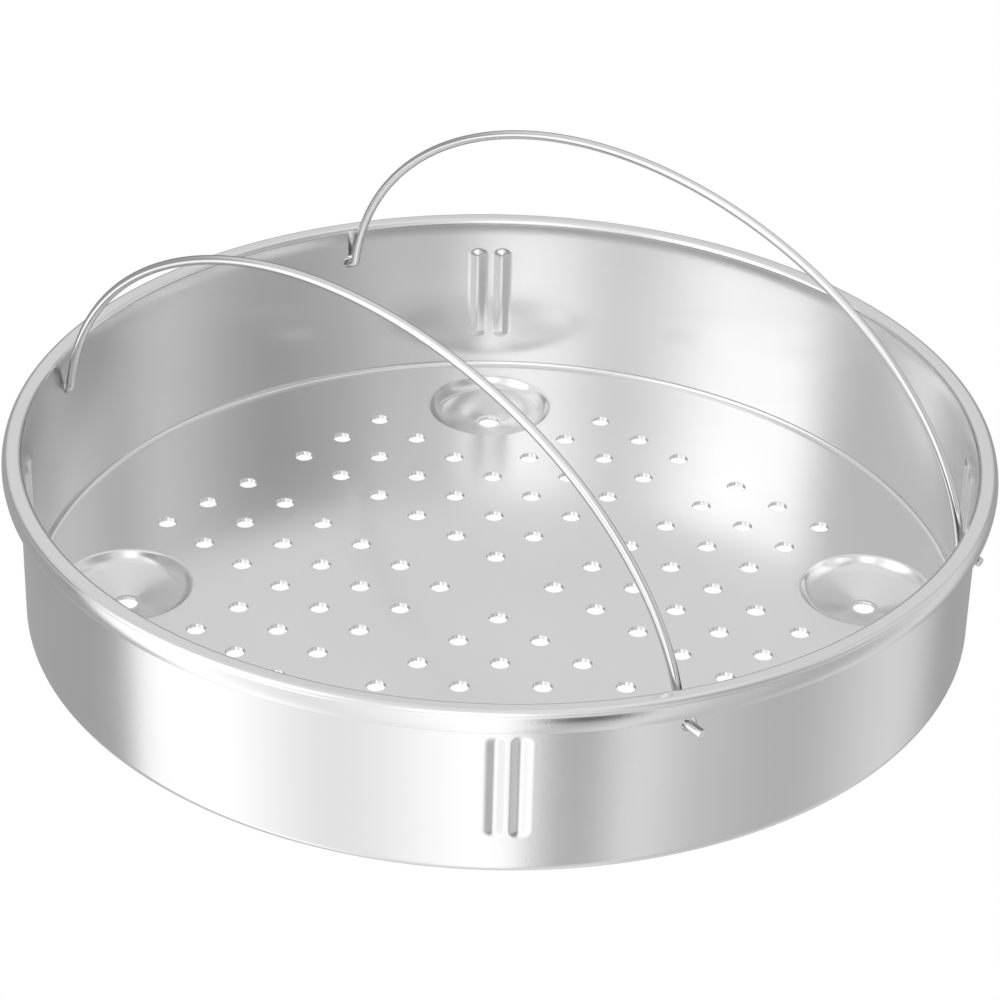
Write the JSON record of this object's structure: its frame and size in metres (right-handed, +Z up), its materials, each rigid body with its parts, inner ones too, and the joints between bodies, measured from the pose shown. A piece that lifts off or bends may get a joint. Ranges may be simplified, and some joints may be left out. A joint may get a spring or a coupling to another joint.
{
  "type": "steamer basket",
  "caption": "Round perforated steel steamer basket for a pressure cooker, with dimpled feet, ribbed wall, turned-down rim and wire bail handles that swing.",
  "frame": {"origin": "centre of the basket, on the plane that its feet stand on", "axes": "+Z up along the basket's axis; the feet and the rib pairs lie on X and Y; the front bail is towards -X -Y and the rear bail towards +X +Y"},
  "size_m": [0.214, 0.214, 0.0954],
  "materials": {
    "sheet_steel": "satin pressed stainless sheet",
    "wire_steel": "bright drawn stainless wire"
  },
  "bodies": {
    "basket": {"perforated_basket": "sheet_steel"},
    "front_bail": {"front_bail_handle": "wire_steel"},
    "rear_bail": {"rear_bail_handle": "wire_steel"}
  },
  "joints": [
    {"name": "front_bail_swing", "type": "hinge", "parent": "basket", "child": "front_bail", "pos_m": [-0.03147, -0.03147, 0.0366], "axis": [0.7071, -0.7071, 0], "range_deg": [-120, 25]},
    {"name": "rear_bail_swing", "type": "hinge", "parent": "basket", "child": "rear_bail", "pos_m": [0.03147, 0.03147, 0.0366], "axis": [-0.7071, 0.7071, 0], "range_deg": [-112, 25]}
  ]
}
